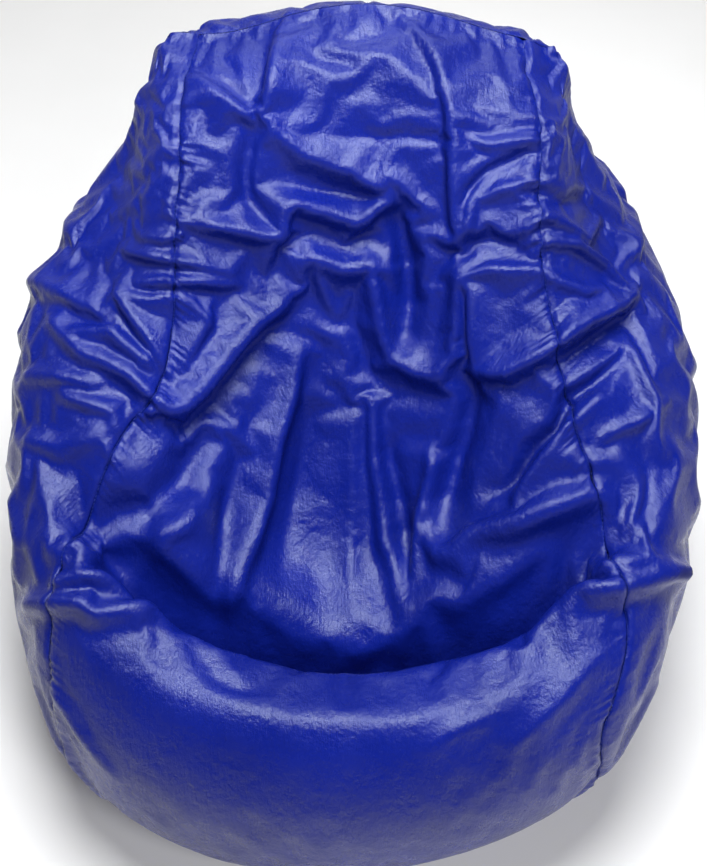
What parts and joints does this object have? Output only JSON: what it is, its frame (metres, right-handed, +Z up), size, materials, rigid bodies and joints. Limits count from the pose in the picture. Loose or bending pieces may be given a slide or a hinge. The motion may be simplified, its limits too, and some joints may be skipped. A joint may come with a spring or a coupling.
{
  "type": "bean bag chair",
  "caption": "Large slumped bean bag chair with a bucket seat: sewn glossy vinyl cover, zipped inner liner and bead filling.",
  "frame": {"origin": "on the floor under the middle of the bag's box", "axes": "+Z up, -Y the way the sitter faces, +X to the right seen from the front"},
  "size_m": [0.9308, 1.068, 0.785],
  "materials": {
    "vinyl": "glossy royal blue vinyl, finely creased",
    "liner_cloth": "thin white non-woven cloth",
    "beads": "white expanded polystyrene beads",
    "thread": "blue polyester thread",
    "zip_tape": "woven navy tape",
    "zip_teeth": "navy nylon coil",
    "zip_metal": "satin plated metal",
    "label_cloth": "blank white satin tape"
  },
  "bodies": {
    "bag": {"front_panel": "vinyl", "side_panel_left": "vinyl", "side_panel_right": "vinyl", "rear_panel_left": "vinyl", "rear_panel_right": "vinyl", "base_panel": "vinyl", "inner_liner": "liner_cloth", "bead_fill": "beads", "front_seam_thread_left": "thread", "front_seam_thread_right": "thread", "rear_seam_thread_left": "thread", "rear_seam_thread_right": "thread", "centre_seam_thread_lower": "thread", "centre_seam_thread_upper": "thread", "top_seam_thread": "thread", "base_seam_thread": "thread", "outer_zip_teeth_left": "zip_teeth", "outer_zip_teeth_right": "zip_teeth", "outer_zip_tape_left": "zip_tape", "outer_zip_tape_right": "zip_tape", "outer_zip_stitching_left": "thread", "outer_zip_stitching_right": "thread", "outer_zip_top_stop": "zip_metal", "outer_zip_bottom_stop": "zip_metal", "inner_zip_teeth_left": "zip_teeth", "inner_zip_teeth_right": "zip_teeth", "inner_zip_tape_left": "zip_tape", "inner_zip_tape_right": "zip_tape", "inner_zip_top_stop": "zip_metal", "inner_zip_bottom_stop": "zip_metal", "care_label": "label_cloth"},
    "outer_slider": {"outer_zip_slider": "zip_metal"},
    "inner_slider": {"inner_zip_slider": "zip_metal"}
  },
  "joints": [
    {"name": "outer_zip_slide", "type": "slide", "parent": "bag", "child": "outer_slider", "axis": [0, -0.1094, 0.994], "range_m": [-0.364, 0]},
    {"name": "inner_zip_slide", "type": "slide", "parent": "bag", "child": "inner_slider", "axis": [0, -0.1094, 0.994], "range_m": [-0.364, 0]}
  ]
}
